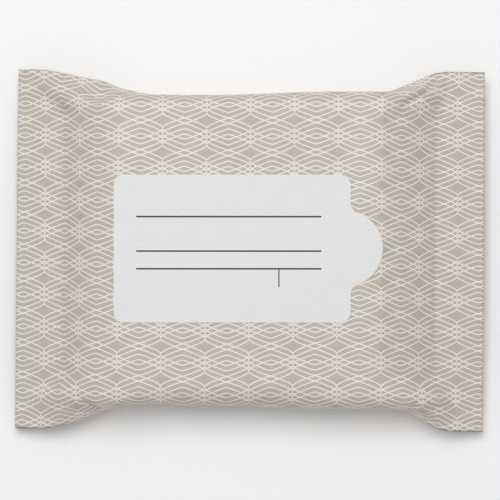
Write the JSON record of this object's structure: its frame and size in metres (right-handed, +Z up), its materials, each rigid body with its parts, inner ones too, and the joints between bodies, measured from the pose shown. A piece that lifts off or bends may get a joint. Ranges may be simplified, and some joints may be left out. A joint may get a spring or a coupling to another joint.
{
  "type": "wet wipes pack",
  "caption": "Flat pillow pack of wet wipes in printed matte film with flat end seals, closed by a white reseal label with a round pull tab.",
  "frame": {"origin": "on the surface that the pack lies on, under the middle of the pack", "axes": "+X along the pack from one end seal to the other, towards the label's tab; +Y across the pack; +Z up, out of the label"},
  "size_m": [0.191, 0.147, 0.0262],
  "materials": {
    "film": "matte printed film, warm grey with fine pale lines",
    "label": "matte white coated label with fine dark rules"
  },
  "bodies": {
    "root": {"film_pack": "film", "reseal_label": "label"}
  },
  "joints": []
}
